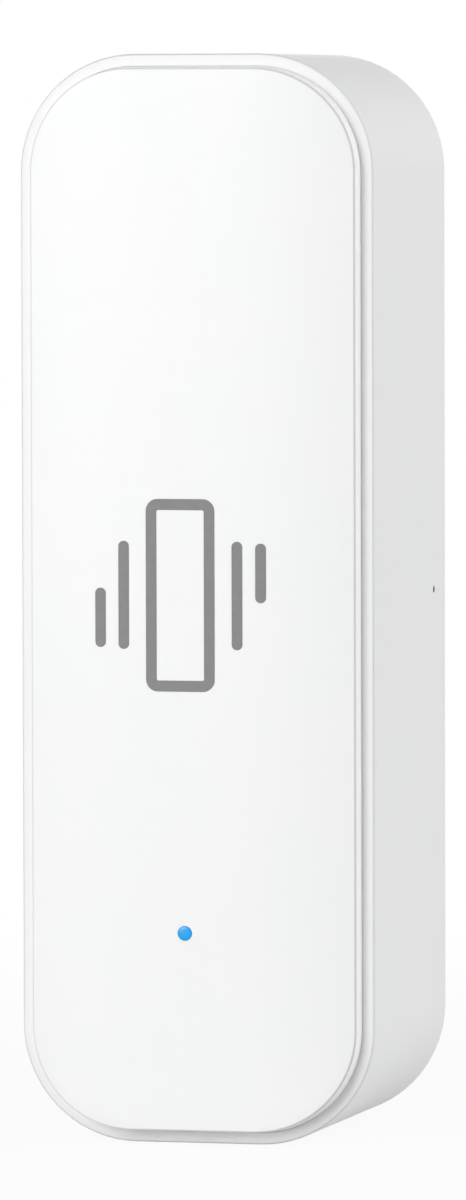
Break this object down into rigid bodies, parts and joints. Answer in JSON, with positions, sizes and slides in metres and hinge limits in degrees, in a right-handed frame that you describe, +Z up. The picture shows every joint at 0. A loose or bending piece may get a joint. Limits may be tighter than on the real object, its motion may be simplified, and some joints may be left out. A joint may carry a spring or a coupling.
{
  "type": "vibration sensor",
  "caption": "Upright vibration sensor tag with rounded corners, a proud pull-off front cover that carries a printed symbol and a status light, dry cells inside and an adhesive back.",
  "frame": {"origin": "middle of the adhesive pad's outer face, where the tag is stuck to a wall, door or machine", "axes": "+Z up along the tag's long side, +Y out of the back into the wall, the front faces -Y, +X to the right as seen from the front"},
  "size_m": [0.024, 0.0232, 0.072],
  "materials": {
    "white_shell": "satin",
    "white_cover": "satin",
    "grey_ink": "matte",
    "blue_light": "gloss",
    "foam": "matte",
    "dark_plastic": "satin",
    "screw_steel": "satin",
    "nickel_plate": "satin",
    "spring_steel": "polished",
    "cell_can": "gloss",
    "cell_filling": "matte",
    "cell_cap": "polished",
    "board": "satin",
    "lamp": "gloss",
    "ferrite": "matte",
    "resin": "satin",
    "ceramic_chip": "satin",
    "crystal_can": "satin",
    "gilt_post": "polished",
    "light_plastic": "satin"
  },
  "bodies": {
    "housing": {"rear_housing": "white_shell", "adhesive_pad": "foam", "battery_tray": "dark_plastic", "reset_switch_body": "dark_plastic", "voltage_regulator": "dark_plastic", "radio_chip": "dark_plastic", "tray_screws": "screw_steel", "board_screws": "screw_steel", "positive_contact": "nickel_plate", "negative_contact": "nickel_plate", "bridge_contact": "nickel_plate", "radio_shield": "nickel_plate", "reset_switch_frame": "nickel_plate", "vibration_can": "nickel_plate", "negative_spring": "spring_steel", "bridge_spring": "spring_steel", "circuit_board": "board", "status_lamp": "lamp", "boost_inductor": "ferrite", "storage_capacitor": "resin", "chip_antenna": "ceramic_chip", "chip_capacitors": "ceramic_chip", "chip_resistors": "ceramic_chip", "quartz_crystal": "crystal_can", "vibration_post": "gilt_post", "vibration_base": "light_plastic"},
    "cover": {"front_cover": "white_cover", "printed_symbol": "grey_ink", "light_pipe": "blue_light"},
    "left_cell": {"left_cell_can": "cell_can", "left_cell_filling": "cell_filling", "left_cell_cap": "cell_cap"},
    "right_cell": {"right_cell_can": "cell_can", "right_cell_filling": "cell_filling", "right_cell_cap": "cell_cap"},
    "reset_button": {"reset_plunger": "light_plastic"},
    "sway_spring": {"vibration_spring": "spring_steel"}
  },
  "joints": [
    {"name": "cover_pull", "type": "slide", "parent": "housing", "child": "cover", "axis": [0, -1, 0], "range_m": [0, 0.03]},
    {"name": "left_cell_slide", "type": "slide", "parent": "housing", "child": "left_cell", "axis": [0, 0, -1], "range_m": [0, 0.0012], "stiffness_N_per_m": 500, "springref_m": -0.002, "deforming": ["bridge_spring"]},
    {"name": "right_cell_slide", "type": "slide", "parent": "housing", "child": "right_cell", "axis": [0, 0, 1], "range_m": [0, 0.0012], "stiffness_N_per_m": 500, "springref_m": -0.002, "deforming": ["negative_spring"]},
    {"name": "reset_press", "type": "slide", "parent": "housing", "child": "reset_button", "axis": [-1, 0, 0], "range_m": [0, 0.00025], "stiffness_N_per_m": 800},
    {"name": "vibration_sway", "type": "hinge", "parent": "housing", "child": "sway_spring", "pos_m": [0.0062, -0.0073, -0.02803], "axis": [1, 0, 0], "range_deg": [-4, 4], "stiffness_Nm_per_rad": 0.0001}
  ]
}
